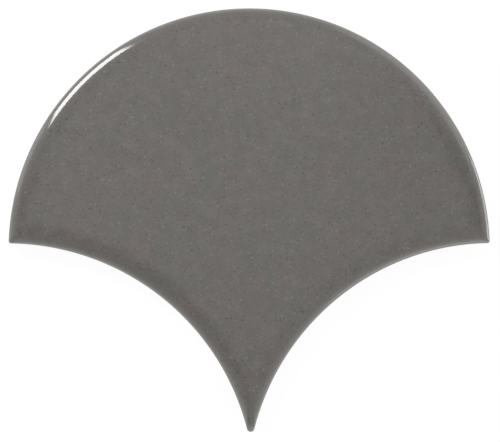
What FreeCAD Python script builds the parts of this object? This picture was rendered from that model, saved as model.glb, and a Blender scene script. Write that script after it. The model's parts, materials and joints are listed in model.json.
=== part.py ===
"""A fish scale wall tile: one pressed, glazed and fired piece of ceramic.

The tile lies on its back with the glazed face up. The origin is the centre of the rounded head's arc, on
the plane of the back. +Y points to the crown of the head, -Y to the tip, and +Z out of the glazed face.
All lengths are in millimetres.
"""

import math
import os

import FreeCAD
import Part
from FreeCAD import Vector

# Outline, seen from the front. The head is an arc, and each flank is the arc of the neighbour that nests in
# it, one grout joint away. The tip and the two corners are rounded where those arcs meet.
HEAD_RADIUS = 60.0
GROUT_JOINT = 1.5
CORNER_GAP = 1.0
CORNER_RADIUS = 0.6
TIP_RADIUS = 0.95

# Section. The face is flat and rolls off to an upright side, and the back has a bevelled foot.
THICKNESS = 8.0
ROLL_WIDTH = 6.0
ROLL_DROP = 1.4
FOOT_BEVEL = 0.6

# Keyed back: level grooves that the bedding adhesive grips, inside a plain border.
KEY_PITCH = 6.0
KEY_WIDTH = 3.2
KEY_DEPTH = 0.6
KEY_DRAFT = 0.2
KEY_BORDER = 4.0

# The neighbours stand side by side, one course down: their centres are a head radius lower.
FLANK_RADIUS = HEAD_RADIUS + GROUT_JOINT
NEIGHBOUR_X = HEAD_RADIUS + CORNER_GAP / 2
NEIGHBOUR_Y = -HEAD_RADIUS

# The rolled edge is a cubic surface through outlines at this many steps of its quarter ellipse.
ROLL_STEPS = 10
CUBIC = 3


def meeting_point(from_head, from_neighbour):
    """The upper point at these distances from the centres of the head and of the right neighbour."""
    span = math.hypot(NEIGHBOUR_X, NEIGHBOUR_Y)
    along = (from_head**2 - from_neighbour**2 + span**2) / (2 * span)
    across = math.sqrt(from_head**2 - along**2)
    unit_x, unit_y = NEIGHBOUR_X / span, NEIGHBOUR_Y / span
    return Vector(along * unit_x - across * unit_y, along * unit_y + across * unit_x, 0)


def point_on(centre, radius, toward):
    """The point of a circle in the direction of another point."""
    return centre + (toward - centre).normalize() * radius


def mirrored(point):
    """The same point on the other half of the tile."""
    return Vector(-point.x, point.y, point.z)


def outline(inset, level):
    """The tile's outline, moved in by inset all round, as a wire at height level."""
    head = HEAD_RADIUS - inset
    flank = FLANK_RADIUS + inset
    centre = Vector(0, 0, 0)
    neighbour = Vector(NEIGHBOUR_X, NEIGHBOUR_Y, 0)
    corner = meeting_point(head - CORNER_RADIUS, flank + CORNER_RADIUS)
    tip_rise = math.sqrt((flank + TIP_RADIUS) ** 2 - NEIGHBOUR_X**2)
    tip = Vector(0, NEIGHBOUR_Y + tip_rise, 0)

    crown = Vector(0, head, 0)
    head_end = point_on(centre, head, corner)
    head_middle = point_on(centre, head, crown + head_end)
    flank_top = point_on(neighbour, flank, corner)
    flank_foot = point_on(neighbour, flank, tip)
    flank_middle = point_on(neighbour, flank, flank_top + flank_foot - neighbour)
    corner_middle = point_on(corner, CORNER_RADIUS, head_end + flank_top - corner)
    tip_end = Vector(0, tip.y - TIP_RADIUS, 0)

    right = [
        (crown, head_middle, head_end),
        (head_end, corner_middle, flank_top),
        (flank_top, flank_middle, flank_foot),
    ]
    left = [tuple(mirrored(p) for p in reversed(arc)) for arc in reversed(right)]
    arcs = right + [(flank_foot, tip_end, mirrored(flank_foot))] + left
    wire = Part.Wire([Part.Arc(*arc).toShape() for arc in arcs])
    wire.translate(Vector(0, 0, level))
    return wire


def rolled_edge():
    """The outlines of the rolled edge, from the top of the upright side to the rim of the flat face."""
    wires = []
    for step in range(ROLL_STEPS + 1):
        turn = math.pi / 2 * step / ROLL_STEPS
        inset = ROLL_WIDTH * (1 - math.cos(turn))
        level = THICKNESS - ROLL_DROP * (1 - math.sin(turn))
        wires.append(outline(inset, level))
    return wires


def plain_tile():
    """The tile with a plain back: flat face, rolled edge, upright side and bevelled foot."""
    roll = rolled_edge()
    foot = outline(FOOT_BEVEL, 0)
    side_foot = outline(0, FOOT_BEVEL)
    faces = [Part.Face(roll[-1]), Part.Face(foot)]
    faces += Part.makeLoft(roll, False, False, False, CUBIC).Faces
    faces += Part.makeLoft([roll[0], side_foot], False, True).Faces
    faces += Part.makeLoft([side_foot, foot], False, True).Faces
    shell = Part.Shell(faces)
    shell.sewShape()
    return Part.Solid(shell)


def groove_bar(middle):
    """A bar along X at y = middle with drafted sides, from a groove's floor to as far below the back."""
    reach = 2 * HEAD_RADIUS
    floor = KEY_WIDTH / 2 - KEY_DRAFT
    mouth = KEY_WIDTH / 2 + KEY_DRAFT
    corners = [(-mouth, -KEY_DEPTH), (mouth, -KEY_DEPTH), (floor, KEY_DEPTH), (-floor, KEY_DEPTH)]
    points = [Vector(-reach, middle + y, z) for y, z in corners]
    section = Part.Face(Part.makePolygon(points + points[:1]))
    return section.extrude(Vector(2 * reach, 0, 0))


def keyed_back():
    """The grooves, stopped at the plain border by a wall with the same draft. A rib lies on y = 0."""
    bed = Part.makeLoft(
        [outline(KEY_BORDER - KEY_DRAFT, -KEY_DEPTH), outline(KEY_BORDER + KEY_DRAFT, KEY_DEPTH)], True, True
    )
    border = outline(KEY_BORDER, 0).BoundBox
    first_groove = KEY_PITCH / 2
    above = math.floor((border.YMax - KEY_WIDTH - first_groove) / KEY_PITCH)
    below = math.ceil((border.YMin + KEY_WIDTH - first_groove) / KEY_PITCH)
    middles = [first_groove + n * KEY_PITCH for n in range(below, above + 1)]
    return [bed.common(groove_bar(middle)) for middle in middles]


def fish_scale_tile():
    """The whole tile."""
    return plain_tile().cut(keyed_back())


def main():
    os.makedirs("parts", exist_ok=True)
    tile = fish_scale_tile()
    box = tile.optimalBoundingBox(True, False)
    print("valid", tile.isValid(), "solids", len(tile.Solids), "faces", len(tile.Faces))
    print("size", round(box.XLength, 3), round(box.YLength, 3), round(box.ZLength, 3))
    print("volume", round(tile.Volume, 1))
    tile.exportStep("parts/fish_scale_tile.step")


main()
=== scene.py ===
# %% [markdown]
# # A glazed fish scale tile
#
# This lesson dresses one ceramic wall tile for the camera. The real tile is pressed from clay powder, coated
# with a dark grey glaze and fired, so it is one piece with two finishes: glassy glaze over the face and down
# the side, and bare clay below the glaze line and on the back. We build the mesh with bmesh operators, give
# it the two finishes, and then set up a small studio. All lengths are in metres, in the frame of the packed
# tile: the origin is the centre of the rounded head's arc, on the back, +Y points to the crown and +Z out
# of the glazed face.

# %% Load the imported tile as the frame
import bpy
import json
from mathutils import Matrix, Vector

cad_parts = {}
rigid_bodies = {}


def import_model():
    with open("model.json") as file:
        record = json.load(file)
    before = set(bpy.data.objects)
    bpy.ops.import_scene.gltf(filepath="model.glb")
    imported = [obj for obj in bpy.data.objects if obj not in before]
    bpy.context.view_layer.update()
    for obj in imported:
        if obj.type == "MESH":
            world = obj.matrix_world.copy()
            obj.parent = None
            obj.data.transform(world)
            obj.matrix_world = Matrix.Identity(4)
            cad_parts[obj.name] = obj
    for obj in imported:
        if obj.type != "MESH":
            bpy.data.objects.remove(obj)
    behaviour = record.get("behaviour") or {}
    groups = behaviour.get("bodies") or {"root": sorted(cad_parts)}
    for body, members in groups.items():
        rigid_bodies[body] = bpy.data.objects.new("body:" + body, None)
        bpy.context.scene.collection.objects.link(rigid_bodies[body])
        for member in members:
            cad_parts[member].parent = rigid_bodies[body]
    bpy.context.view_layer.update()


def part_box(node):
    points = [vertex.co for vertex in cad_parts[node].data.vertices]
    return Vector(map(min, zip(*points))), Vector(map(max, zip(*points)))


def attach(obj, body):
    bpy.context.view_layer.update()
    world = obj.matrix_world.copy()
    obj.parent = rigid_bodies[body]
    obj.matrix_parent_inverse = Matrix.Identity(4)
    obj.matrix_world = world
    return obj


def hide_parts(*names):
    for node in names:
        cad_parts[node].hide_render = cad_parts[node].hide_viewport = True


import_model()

# %% [markdown]
# ## Measures
#
# A fish scale tile is drawn with circles only. The head is an arc, and each flank is the arc of the
# neighbour that nests in it, one grout joint wider. The neighbour's centre lies one head radius lower, and
# as far to the side plus half of the gap that two tiles leave between their corners. The big sizes come from
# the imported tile, so that the mesh always fits it. The small ones, which a box can't tell, are named here in
# millimetres.

# %% Measures of the outline
import json
import math

import bmesh
import bpy
from mathutils import Euler, Matrix, Vector, noise

MM = 0.001
tile_low, tile_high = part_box("fish_scale_tile")
head_radius = tile_high.y
thickness = tile_high.z

grout_joint = 1.5 * MM
corner_gap = 1.0 * MM
corner_radius = 0.6 * MM
tip_radius = 0.95 * MM
flank_radius = head_radius + grout_joint
neighbour = Vector((head_radius + corner_gap / 2, -head_radius))
print("head radius mm", round(head_radius / MM, 2), "thickness mm", round(thickness / MM, 2))

# %% [markdown]
# ## One ring of the outline
#
# The rolled edge is a stack of rings, each of them the outline moved in by its own distance. An inset of a
# finished face would fold over itself at the sharp tip, so each ring is drawn afresh from its own circles.
# One vertex starts at the crown and is swung along four arcs with the spin operator: head, corner, flank and
# tip. That draws the right half, and the mirror operator closes the ring.

# %% Where the arcs meet
def meeting_point(from_head, from_neighbour):
    """The upper point at these distances from the centres of the head and of the right neighbour."""
    span = neighbour.length
    along = (from_head**2 - from_neighbour**2 + span**2) / (2 * span)
    across = math.sqrt(from_head**2 - along**2)
    direction = neighbour.normalized()
    return along * direction + across * direction.orthogonal()


print("wing corner mm", [round(c / MM, 2) for c in meeting_point(head_radius, flank_radius)])

# %% Draw a ring
ARC_STEP = 1.0 * MM
SMALL_ARC_STEPS = 8
MERGE_DISTANCE = 0.001 * MM


def draw_ring(mesh, inset, level):
    """The tile's outline, moved in by inset, at height level: the edges of a closed ring."""
    head = head_radius - inset
    flank = flank_radius + inset
    centre = Vector((0, 0))
    corner = meeting_point(head - corner_radius, flank + corner_radius)
    tip_rise = math.sqrt((flank + tip_radius) ** 2 - neighbour.x**2)
    tip = Vector((0, neighbour.y + tip_rise))
    long_steps = round(head_radius * math.pi / 2 / ARC_STEP)
    arcs = [
        (centre, Vector((0, 1)), corner, long_steps),
        (corner, corner, neighbour - corner, SMALL_ARC_STEPS),
        (neighbour, corner - neighbour, tip - neighbour, long_steps),
        (tip, neighbour - tip, Vector((0, -1)), SMALL_ARC_STEPS),
    ]
    old_verts, old_edges = set(mesh.verts), set(mesh.edges)
    moving = bmesh.ops.create_vert(mesh, co=(0, head, level))["vert"]
    for middle, start, end, steps in arcs:
        swing = bmesh.ops.spin(
            mesh, geom=moving, cent=(*middle, level), axis=(0, 0, 1),
            angle=-start.angle_signed(end), steps=steps,
        )
        moving = swing["geom_last"]
    half = [v for v in mesh.verts if v not in old_verts]
    half += [e for e in mesh.edges if e not in old_edges]
    bmesh.ops.mirror(mesh, geom=half, axis="X", matrix=Matrix(), merge_dist=MERGE_DISTANCE)
    return [e for e in mesh.edges if e not in old_edges]


trial = bmesh.new()
print("one ring has", len(draw_ring(trial, 0, 0)), "edges")
trial.free()

# %% [markdown]
# ## The section
#
# Seen in section, the flat face rolls off in a quarter ellipse, wide and shallow, and turns into an upright
# side. The glaze is a skin about a quarter of a millimetre thick. It ends on the side in a rounded lip, and
# the bare clay below stands back by that much, down to a bevelled foot. Each entry is one ring: how far it
# lies inside the outline, and how high.

# %% Rings of the rolled edge
roll_width = 6.0 * MM
roll_drop = 1.4 * MM
ROLL_STEPS = 20


def quarter_turn(steps):
    """Angles from zero to a right angle."""
    return [math.pi / 2 * step / steps for step in range(steps + 1)]


roll_rings = [
    (roll_width * (1 - math.sin(turn)), thickness - roll_drop * (1 - math.cos(turn)))
    for turn in quarter_turn(ROLL_STEPS)
]
print(len(roll_rings), "rings from the flat face down to mm", round(roll_rings[-1][1] / MM, 2))

# %% Rings of the glaze lip, the bare side and the foot
glaze_skin = 0.25 * MM
glaze_line = 2.6 * MM
LIP_STEPS = 4
foot_bevel = 0.6 * MM
key_border = 4.0 * MM

lip_rings = [
    (glaze_skin * (1 - math.cos(turn)), glaze_line + glaze_skin * (1 - math.sin(turn)))
    for turn in quarter_turn(LIP_STEPS)
]
clay_rings = [(glaze_skin, foot_bevel - glaze_skin), (foot_bevel, 0), (key_border, 0)]
section = roll_rings + lip_rings + clay_rings
glaze_bands = len(roll_rings) + len(lip_rings) - 1
print(len(section), "rings,", glaze_bands, "bands of them glazed")

# %% [markdown]
# ## The pressed body
#
# The rings are joined with bridge_loops, and the innermost ring on each face is filled. The glaze line on a
# real side wanders, because the glaze slumps a little in the kiln, so the rings of the lip are moved up and
# down by smooth noise before they are joined.

# %% Join the rings
GLAZE, CLAY = 0, 1
line_wander = 0.45 * MM
wander_length = 11.0 * MM

body = bmesh.new()
rings = [draw_ring(body, inset, level) for inset, level in section]

for ring in rings[len(roll_rings) : len(roll_rings) + len(lip_rings)]:
    for vert in {v for edge in ring for v in edge.verts}:
        place = Vector((vert.co.x, vert.co.y, 0)) / wander_length
        vert.co.z += line_wander * noise.noise(place)

for number, (upper, lower) in enumerate(zip(rings, rings[1:])):
    for face in bmesh.ops.bridge_loops(body, edges=upper + lower)["faces"]:
        face.material_index = GLAZE if number < glaze_bands else CLAY

bmesh.ops.edgeloop_fill(body, edges=rings[0], mat_nr=GLAZE)
back = bmesh.ops.edgeloop_fill(body, edges=rings[-1], mat_nr=CLAY)["faces"]
bmesh.ops.recalc_face_normals(body, faces=body.faces)
print("body:", len(body.faces), "faces")

# %% [markdown]
# ## The keyed back
#
# The press leaves level grooves on the back, which the adhesive grips. The back is one large face, so
# bisect_plane slices it at both sides of every groove, and an individual inset with a negative depth sinks
# every second strip. The inset's own thickness gives the groove its drafted walls.

# %% Slice the back
key_pitch = 6.0 * MM
key_width = 3.2 * MM

back_low = min(v.co.y for v in back[0].verts)
back_high = max(v.co.y for v in back[0].verts)
first_groove = key_pitch / 2
above = math.floor((back_high - key_width - first_groove) / key_pitch)
below = math.ceil((back_low + key_width - first_groove) / key_pitch)
groove_middles = [first_groove + n * key_pitch for n in range(below, above + 1)]

strips = back
for middle in groove_middles:
    for side in (-1, 1):
        cut = Vector((0, middle + side * key_width / 2, 0))
        strip_edges = {e for f in strips for e in f.edges}
        strip_verts = {v for f in strips for v in f.verts}
        parts = [*strips, *strip_edges, *strip_verts]
        made = bmesh.ops.bisect_plane(body, geom=parts, plane_co=cut, plane_no=(0, 1, 0))["geom"]
        strips = [g for g in made if isinstance(g, bmesh.types.BMFace)]
print(len(groove_middles), "grooves to press,", len(strips), "strips")

# %% Press the grooves
key_depth = 0.6 * MM
key_draft = 0.2 * MM


def in_groove(strip):
    """True if this strip of the back lies in a groove."""
    strip_middle = strip.calc_center_median().y
    return any(abs(strip_middle - middle) < key_width / 2 for middle in groove_middles)


floors = [f for f in strips if in_groove(f)]
bmesh.ops.inset_individual(body, faces=floors, thickness=key_draft, depth=-key_depth, use_even_offset=True)
print(len(floors), "groove floors, mm above the back:", round(floors[0].calc_center_median().z / MM, 3))

# %% [markdown]
# ## The finished piece
#
# The mesh becomes an object at the origin. Its faces are smooth, and edges that turn sharply, such as those
# of the grooves, stay crisp. It rides on the tile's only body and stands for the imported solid.

# %% Make the object
SHARP_TURN = math.radians(35)

tile_mesh = bpy.data.meshes.new("glazed_tile")
body.to_mesh(tile_mesh)
body.free()
tile_mesh.shade_smooth()
tile_mesh.set_sharp_from_angle(angle=SHARP_TURN)
tile = bpy.data.objects.new("glazed_tile", tile_mesh)
bpy.context.scene.collection.objects.link(tile)
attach(tile, "root")
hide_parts("fish_scale_tile")
print("piece:", tile.name, len(tile_mesh.polygons), "faces")

# %% [markdown]
# ## Tools for the finishes
#
# Colours are written as sRGB hex values, as a paint chart gives them, and turned to the linear values that
# shaders need. Pattern sizes are written in millimetres: a texture's scale is one over the size of a spot.

# %% Colour and scale helpers
def linear(hex_colour):
    """Linear red, green, blue and alpha of an sRGB hex colour."""
    parts = [int(hex_colour[i : i + 2], 16) / 255 for i in (1, 3, 5)]
    return [c / 12.92 if c <= 0.04045 else ((c + 0.055) / 1.055) ** 2.4 for c in parts] + [1.0]


def scale_of(spot_mm):
    """Texture scale for spots of this size."""
    return 1 / (spot_mm * MM)


print("mid grey #808080 is", round(linear("#808080")[0], 3), "in linear light")

# %% Node helpers
MIX_FACTOR, MIX_A, MIX_B, MIX_RESULT = 0, 6, 7, 2


def add_node(owner, kind, inputs, **settings):
    """Adds a node to a material or world, with its settings, and sets or links its inputs."""
    node = owner.node_tree.nodes.new(kind)
    for name, value in settings.items():
        setattr(node, name, value)
    for socket, value in inputs.items():
        if isinstance(value, bpy.types.NodeSocket):
            owner.node_tree.links.new(value, node.inputs[socket])
        else:
            node.inputs[socket].default_value = value
    return node


def new_material(name, mesh):
    """An empty node material on this mesh."""
    material = bpy.data.materials.new(name)
    material.use_nodes = True
    material.node_tree.nodes.clear()
    mesh.materials.append(material)
    return material


glaze = new_material("gloss_glaze", tile_mesh)
biscuit = new_material("biscuit_clay", tile_mesh)
print("materials on the tile:", [m.name for m in tile_mesh.materials])

# %% [markdown]
# ## Gloss glaze
#
# The glaze is a coloured glass, fired on at about 1100 degrees, so it has the IOR of a heavy glass and a low
# roughness. Its grey is not even: soft clouds a few millimetres wide lean to green or to red, and a finer
# tone runs through them, lighter and darker. Mixing between two close greys by noise gives each of those,
# which is nearer to a melt than one flat colour.

# %% Clouds and tone
GLAZE_GREEN = "#595954"
GLAZE_RED = "#5f5754"
TONE_DARK = "#444340"
TONE_LIGHT = "#706d69"
cloud_mm = 5.0
cloud_green, cloud_red = 0.3, 0.7
tone_mm = 3.0

surface = add_node(glaze, "ShaderNodeTexCoord", {})
spot = surface.outputs["Object"]
cloud = add_node(
    glaze, "ShaderNodeTexNoise",
    {"Vector": spot, "Scale": scale_of(cloud_mm), "Detail": 3.0, "Roughness": 0.55},
).outputs["Fac"]
hue = add_node(
    glaze, "ShaderNodeMapRange", {"Value": cloud, "From Min": cloud_green, "From Max": cloud_red},
).outputs[0]
clouded = add_node(
    glaze, "ShaderNodeMix",
    {MIX_FACTOR: hue, MIX_A: linear(GLAZE_GREEN), MIX_B: linear(GLAZE_RED)}, data_type="RGBA",
).outputs[MIX_RESULT]
tone = add_node(
    glaze, "ShaderNodeTexNoise",
    {"Vector": spot, "Scale": scale_of(tone_mm), "Detail": 5.0, "Roughness": 0.75},
).outputs["Fac"]
print("glaze clouds mm", cloud_mm, "tone mm", tone_mm)

# %% [markdown]
# Specks of pigment that didn't melt float in the glaze, some darker and some lighter. A fine noise is cut
# off near its lowest and its highest values, so only a few small spots are left. One loop lays the tone and
# the specks over the clouds: each row names a pattern, where it begins, where it is full, how strong it is
# there and its colour.

# %% Specks
SPECK_DARK = "#32312f"
SPECK_LIGHT = "#88847f"
speck_mm = 0.58

speck = add_node(
    glaze, "ShaderNodeTexNoise", {"Vector": spot, "Scale": scale_of(speck_mm), "Detail": 0.0},
).outputs["Fac"]
grey = clouded
for pattern, begins, full, strength, colour in (
    (tone, 0.5, 0.2, 0.4, TONE_DARK),
    (tone, 0.5, 0.8, 0.4, TONE_LIGHT),
    (speck, 0.32, 0.17, 0.6, SPECK_DARK),
    (speck, 0.7, 0.85, 0.42, SPECK_LIGHT),
):
    share = add_node(
        glaze, "ShaderNodeMapRange",
        {"Value": pattern, "From Min": begins, "From Max": full, "To Max": strength},
    ).outputs[0]
    grey = add_node(
        glaze, "ShaderNodeMix", {MIX_FACTOR: share, MIX_A: grey, MIX_B: linear(colour)}, data_type="RGBA",
    ).outputs[MIX_RESULT]
print("glaze pattern:", len(glaze.node_tree.nodes), "nodes")

# %% [markdown]
# Molten glaze runs off a steep surface. Where the coat gets thin over the rim, the pale clay shows through
# it and the grey turns lighter. Part of that lighter rim is also a painted reflection: a grazing face mirrors
# the pale room, and that sheen is painted into the colour by how much the surface leans. The surface's own
# normal tells how much it leans. The ends of the tip and the corners are painted lighter too, partly as a
# thin coat and partly as painted reflection: they hardly lean, but they lie lower than the face. Further
# down the side the glaze gathers again.

# %% Where the rim is pale: thin coat and painted reflection
plain_lean, palest_lean = math.radians(6), math.radians(48)
plain_end, palest_end = 7.3 * MM, 6.75 * MM

surface_height = add_node(glaze, "ShaderNodeSeparateXYZ", {0: spot}).outputs["Z"]
upright = add_node(glaze, "ShaderNodeSeparateXYZ", {0: surface.outputs["Normal"]}).outputs["Z"]
surface_lean = add_node(glaze, "ShaderNodeMath", {0: upright}, operation="ARCCOSINE").outputs[0]
# Mask of the pale rim: partly a thin coat of glaze, partly a painted reflection of the pale room on steep
# faces.
pale_rim_parts = [
    add_node(
        glaze, "ShaderNodeMapRange",
        {"Value": value, "From Min": thick, "From Max": thin},
        interpolation_type="SMOOTHSTEP",
    ).outputs[0]
    for value, thick, thin in (
        (surface_lean, plain_lean, palest_lean),
        (surface_height, plain_end, palest_end),
    )
]
rim_thin_coat_and_sheen = add_node(
    glaze, "ShaderNodeMath", {0: pale_rim_parts[0], 1: pale_rim_parts[1]}, operation="MAXIMUM",
).outputs[0]
print("thinnest at a lean of degrees", round(math.degrees(palest_lean)), "or at mm", round(palest_end / MM, 2))

# %% Pale rim: thin coat and painted reflection
RIM_GREY = "#83817e"
rim_height = 6.7 * MM
side_height = 4.8 * MM
side_thinness = 0.2

# Mixes the pale rim grey in: thin glaze over the clay, and a painted reflection where the rim leans.
thin_coat_and_sheen = add_node(
    glaze, "ShaderNodeMapRange",
    {
        "Value": surface_height, "From Min": side_height, "From Max": rim_height,
        "To Min": side_thinness, "To Max": rim_thin_coat_and_sheen,
    },
    interpolation_type="SMOOTHSTEP",
).outputs[0]
grey = add_node(
    glaze, "ShaderNodeMix", {MIX_FACTOR: thin_coat_and_sheen, MIX_A: grey, MIX_B: linear(RIM_GREY)}, data_type="RGBA",
).outputs[MIX_RESULT]
print("glaze colour:", len(glaze.node_tree.nodes), "nodes")

# %% [markdown]
# The surface of a poured glaze is never a perfect mirror: it has very faint, long waves. They are too low to
# be modelled, so they are a bump. The shader then has the gloss and the IOR of glass.

# %% Waves and the shader
wave_mm = 9.0
wave_height = 0.02 * MM

swell = add_node(
    glaze, "ShaderNodeTexNoise", {"Vector": spot, "Scale": scale_of(wave_mm), "Detail": 0.0},
).outputs["Fac"]
waves = add_node(glaze, "ShaderNodeBump", {"Height": swell, "Strength": 0.2, "Distance": wave_height})
glaze_shader = add_node(
    glaze, "ShaderNodeBsdfPrincipled",
    {"Base Color": grey, "Roughness": 0.09, "IOR": 1.7, "Normal": waves.outputs[0]},
)
add_node(glaze, "ShaderNodeOutputMaterial", {"Surface": glaze_shader.outputs[0]})
print("glaze:", len(glaze.node_tree.nodes), "nodes")

# %% [markdown]
# ## Bare biscuit
#
# Below the glaze line and on the back the fired clay is bare. It is a pale, dry, slightly sandy body with no
# gloss at all: a high roughness, fine grit in its colour and relief, and soft stains from the kiln.

# %% Biscuit colour
BISCUIT_PALE = "#d8d0c2"
BISCUIT_STAIN = "#c2b7a6"
GRIT_DARK = "#9d9284"
stain_mm = 14.0
grit_mm = 0.6
grain_begins, grain_full = 0.62, 0.75

clay_spot = add_node(biscuit, "ShaderNodeTexCoord", {}).outputs["Object"]
stain = add_node(
    biscuit, "ShaderNodeTexNoise",
    {"Vector": clay_spot, "Scale": scale_of(stain_mm), "Detail": 4.0, "Roughness": 0.6},
).outputs["Fac"]
stained = add_node(
    biscuit, "ShaderNodeMix",
    {MIX_FACTOR: stain, MIX_A: linear(BISCUIT_PALE), MIX_B: linear(BISCUIT_STAIN)}, data_type="RGBA",
).outputs[MIX_RESULT]
grit = add_node(
    biscuit, "ShaderNodeTexNoise",
    {"Vector": clay_spot, "Scale": scale_of(grit_mm), "Detail": 2.0, "Roughness": 0.7},
).outputs["Fac"]
grains = add_node(
    biscuit, "ShaderNodeMapRange", {"Value": grit, "From Min": grain_begins, "From Max": grain_full},
).outputs[0]
gritty = add_node(
    biscuit, "ShaderNodeMix",
    {MIX_FACTOR: grains, MIX_A: stained, MIX_B: linear(GRIT_DARK)}, data_type="RGBA",
).outputs[MIX_RESULT]
print("biscuit stains mm", stain_mm, "grit mm", grit_mm)

# %% Biscuit relief and shader
grit_height = 0.08 * MM

sandy = add_node(biscuit, "ShaderNodeBump", {"Height": grit, "Strength": 0.5, "Distance": grit_height})
biscuit_shader = add_node(
    biscuit, "ShaderNodeBsdfPrincipled",
    {"Base Color": gritty, "Roughness": 0.9, "IOR": 1.5, "Normal": sandy.outputs[0]},
)
add_node(biscuit, "ShaderNodeOutputMaterial", {"Surface": biscuit_shader.outputs[0]})
print("biscuit:", len(biscuit.node_tree.nodes), "nodes")

# %% [markdown]
# ## The studio lamps
#
# A glossy tile shows the studio in its rolled edge. A face that leans by some angle mirrors what stands at
# twice that angle from straight up, so every lamp is placed by its compass direction and its lean from
# straight up. The key is a rectangular softbox at the upper left, which draws the bright crescent on the
# shoulder. The others are weak cards that stand low around the tile and draw the pale line along its rim. A
# flat lamp's power is its brightness times pi times its area.

# %% Directions and lamps
tile_middle = (tile_low + tile_high) / 2


def toward(compass, lean):
    """The direction at these degrees from +X towards +Y, and from straight up."""
    return Euler((0, math.radians(lean), math.radians(compass))).to_matrix() @ Vector((0, 0, 1))


def softbox(name, compass, lean, width, height, brightness, reach):
    """A flat lamp aimed at the tile. Its width and height, as the tile sees them, are in degrees, its
    brightness is a radiance, and reach is its distance in metres."""
    lamp = bpy.data.lights.new(name, "AREA")
    lamp.shape = "RECTANGLE"
    lamp.size = 2 * reach * math.tan(math.radians(width) / 2)
    lamp.size_y = 2 * reach * math.tan(math.radians(height) / 2)
    lamp.energy = brightness * math.pi * lamp.size * lamp.size_y
    holder = bpy.data.objects.new(name, lamp)
    holder.location = tile_middle + reach * toward(compass, lean)
    holder.rotation_euler = toward(compass, lean).to_track_quat("Z", "Y").to_euler()
    holder.visible_camera = False
    bpy.context.scene.collection.objects.link(holder)


softbox("key_softbox", compass=133, lean=43, width=18, height=15, brightness=12, reach=0.7)
softbox("left_card", compass=158, lean=59, width=16, height=28, brightness=0.95, reach=1.0)
softbox("right_card", compass=41, lean=51, width=33, height=24, brightness=0.67, reach=1.0)
softbox("low_card", compass=5, lean=70, width=28, height=20, brightness=3.3, reach=1.0)
softbox("front_card", compass=297, lean=60, width=30, height=24, brightness=0.8, reach=1.0)

# %% [markdown]
# ## The studio room
#
# The rest of the light comes from the world, which stands for a small white room. A bright panel hangs
# overhead, a little behind the tile, and the ceiling dims quickly around it, except towards the back of the
# room. The walls begin at a lean of about 35 degrees, and their foot is brighter still. Each is a number
# worked out from the direction that a ray takes.

# %% Ray directions
world = bpy.data.worlds.new("studio")
world.use_nodes = True
world.node_tree.nodes.clear()
bpy.context.scene.world = world
direction = add_node(world, "ShaderNodeTexCoord", {}).outputs["Generated"]
ray_rise = add_node(world, "ShaderNodeSeparateXYZ", {0: direction}).outputs["Z"]
print("world:", world.name)

# %% [markdown]
# The panel is a colour ramp over the cosine of the angle to its middle. A row gives that angle in degrees
# and the shade there. A new ramp has two stops: the one at 1 becomes the middle, and the other is removed.

# %% Panel
PANEL = [(0, 0.79), (5, 0.76), (10, 0.55), (15, 0.33), (20, 0.24), (32, 0.22)]
panel_middle = toward(compass=90, lean=5)

from_panel = add_node(
    world, "ShaderNodeVectorMath", {0: direction, 1: panel_middle}, operation="DOT_PRODUCT",
).outputs["Value"]
ceiling = add_node(world, "ShaderNodeValToRGB", {"Fac": from_panel})
shades = ceiling.color_ramp.elements
shades.remove(shades[0])
for angle, shade in PANEL:
    stop = shades.new(math.cos(math.radians(angle))) if angle else shades[0]
    stop.color = (shade, shade, shade, 1.0)
print("panel:", [(round(s.position, 3), round(s.color[0], 2)) for s in shades])

# %% [markdown]
# Towards the back of the room one even shade takes over. How much of a ray points to the back, from 0 to 1,
# tells where that begins and where it is full.

# %% Back of the ceiling
BEHIND = 0.79
behind_middle = toward(compass=90, lean=90)
behind_begins, behind_full = 0.05, 0.35

to_back = add_node(
    world, "ShaderNodeVectorMath", {0: direction, 1: behind_middle}, operation="DOT_PRODUCT",
).outputs["Value"]
behind = add_node(
    world, "ShaderNodeMapRange",
    {"Value": to_back, "From Min": behind_begins, "From Max": behind_full},
    interpolation_type="SMOOTHSTEP",
).outputs[0]
overhead = add_node(
    world, "ShaderNodeMix",
    {MIX_FACTOR: behind, MIX_A: ceiling.outputs[0], MIX_B: (BEHIND, BEHIND, BEHIND, 1.0)}, data_type="RGBA",
).outputs[MIX_RESULT]
print("ceiling:", len(world.node_tree.nodes), "nodes")

# %% [markdown]
# Three bands follow each other down the room: the wall, its foot and the white of the horizon. A row gives
# the leans at which a band begins and is full, its shade, and how much brighter it gets to the right and
# behind the tile. A dot product with the ray's direction works out the last two at once.

# %% Walls
BANDS = [
    (32, 39, 0.57, 0.0, 0.22),
    (50, 66, 1.03, 0.12, -0.09),
    (84, 88, 1.0, 0.0, 0.0),
]

room = overhead
for begins, full, shade, to_right, to_behind in BANDS:
    sideways = add_node(
        world, "ShaderNodeVectorMath", {0: direction, 1: (to_right, to_behind, 0)}, operation="DOT_PRODUCT",
    ).outputs["Value"]
    band = add_node(world, "ShaderNodeMath", {0: sideways, 1: shade}, operation="ADD").outputs[0]
    band_share = add_node(
        world, "ShaderNodeMapRange",
        {
            "Value": ray_rise,
            "From Min": math.cos(math.radians(begins)),
            "From Max": math.cos(math.radians(full)),
        },
        interpolation_type="SMOOTHSTEP",
    ).outputs[0]
    room = add_node(
        world, "ShaderNodeMix", {MIX_FACTOR: band_share, MIX_A: room, MIX_B: band}, data_type="RGBA",
    ).outputs[MIX_RESULT]
print("room:", len(BANDS), "bands below the ceiling")

# %% [markdown]
# Soft glows at the front right, at the left and beside the panel stand for skylights behind a thin curtain.
# They have no border at all: each fades with the angle between the ray and its middle. A row gives the
# compass direction and the lean of its middle, how far it reaches, all in degrees, and how bright it is.

# %% Skylights
GLOWS = [(308, 30, 31, 0.32), (190, 28, 30, 0.21), (72, 15, 12, 0.26)]

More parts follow.
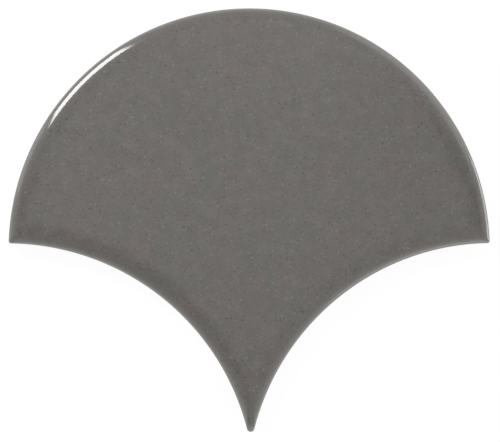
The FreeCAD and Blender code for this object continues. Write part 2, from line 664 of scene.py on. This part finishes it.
for compass, lean, fade, brightness in GLOWS:
    nearness = add_node(
        world, "ShaderNodeVectorMath", {0: direction, 1: toward(compass, lean)}, operation="DOT_PRODUCT",
    ).outputs["Value"]
    glow = add_node(
        world, "ShaderNodeMapRange",
        {"Value": nearness, "From Min": math.cos(math.radians(fade)), "To Max": brightness},
        interpolation_type="SMOOTHSTEP",
    ).outputs[0]
    room = add_node(
        world, "ShaderNodeMix",
        {MIX_FACTOR: 1.0, MIX_A: room, MIX_B: glow}, data_type="RGBA", blend_type="ADD",
    ).outputs[MIX_RESULT]
backdrop = add_node(world, "ShaderNodeBackground", {"Color": room, "Strength": 1.0})
add_node(world, "ShaderNodeOutputWorld", {"Surface": backdrop.outputs[0]})
print("world:", len(world.node_tree.nodes), "nodes")

# %% [markdown]
# ## The floor
#
# The tile lies on white paper. Most of the paper's white is a glow for camera, mirror and glass rays alone,
# so it casts no light, and the rest is ordinary diffuse paper that takes the tile's soft shadow. The paper
# lies a hair below the ribs of the back, because two faces in one plane would flicker.

# %% Floor
FLOOR_REACH = 6.0
floor_level = -0.02 * MM

floor_shape = bmesh.new()
level_floor = Matrix.Translation((0, 0, floor_level))
bmesh.ops.create_grid(floor_shape, x_segments=1, y_segments=1, size=FLOOR_REACH, matrix=level_floor)
floor_mesh = bpy.data.meshes.new("floor")
floor_shape.to_mesh(floor_mesh)
floor_shape.free()
floor = bpy.data.objects.new("floor", floor_mesh)
bpy.context.scene.collection.objects.link(floor)
print("floor:", 2 * FLOOR_REACH, "m square")

# %% Paper
FLOOR_GREY = "#4f4f4f"
FLOOR_GLOW = 0.935

paper = new_material("white_paper", floor_mesh)
ray = add_node(paper, "ShaderNodeLightPath", {})
camera_or_gloss = add_node(
    paper, "ShaderNodeMath",
    {0: ray.outputs["Is Camera Ray"], 1: ray.outputs["Is Glossy Ray"]}, operation="ADD",
).outputs[0]
seen = add_node(
    paper, "ShaderNodeMath",
    {0: camera_or_gloss, 1: ray.outputs["Is Transmission Ray"]}, operation="ADD", use_clamp=True,
).outputs[0]
paper_glow = add_node(paper, "ShaderNodeMath", {0: seen, 1: FLOOR_GLOW}, operation="MULTIPLY").outputs[0]
lit = add_node(paper, "ShaderNodeBsdfDiffuse", {"Color": linear(FLOOR_GREY)}).outputs[0]
white = add_node(paper, "ShaderNodeEmission", {"Strength": paper_glow}).outputs[0]
both = add_node(paper, "ShaderNodeAddShader", {0: lit, 1: white}).outputs[0]
add_node(paper, "ShaderNodeOutputMaterial", {"Surface": both})
print("paper:", len(paper.node_tree.nodes), "nodes")

# %% [markdown]
# ## The camera
#
# The photograph looks down on the face from a little left of straight above, so the sides stay hidden behind
# the rim. The lens is worked out from the width of the picture at the rim.

# %% Camera
picture_width = 124.5 * MM
camera_distance = 450 * MM
camera_lean = math.radians(2.8)
aim_across, aim_along = -0.18 * MM, 7.05 * MM

aim = Vector((aim_across, aim_along, thickness - roll_drop))
lean_left = Euler((0, -camera_lean, 0))
lens = bpy.data.cameras.new("camera")
lens.lens = lens.sensor_width * camera_distance / picture_width
camera = bpy.data.objects.new("camera", lens)
camera.rotation_euler = lean_left
camera.location = aim + lean_left.to_matrix() @ Vector((0, 0, camera_distance))
bpy.context.scene.collection.objects.link(camera)
bpy.context.scene.camera = camera
bpy.context.scene.view_settings.view_transform = "Standard"
print("lens mm", round(lens.lens, 1))
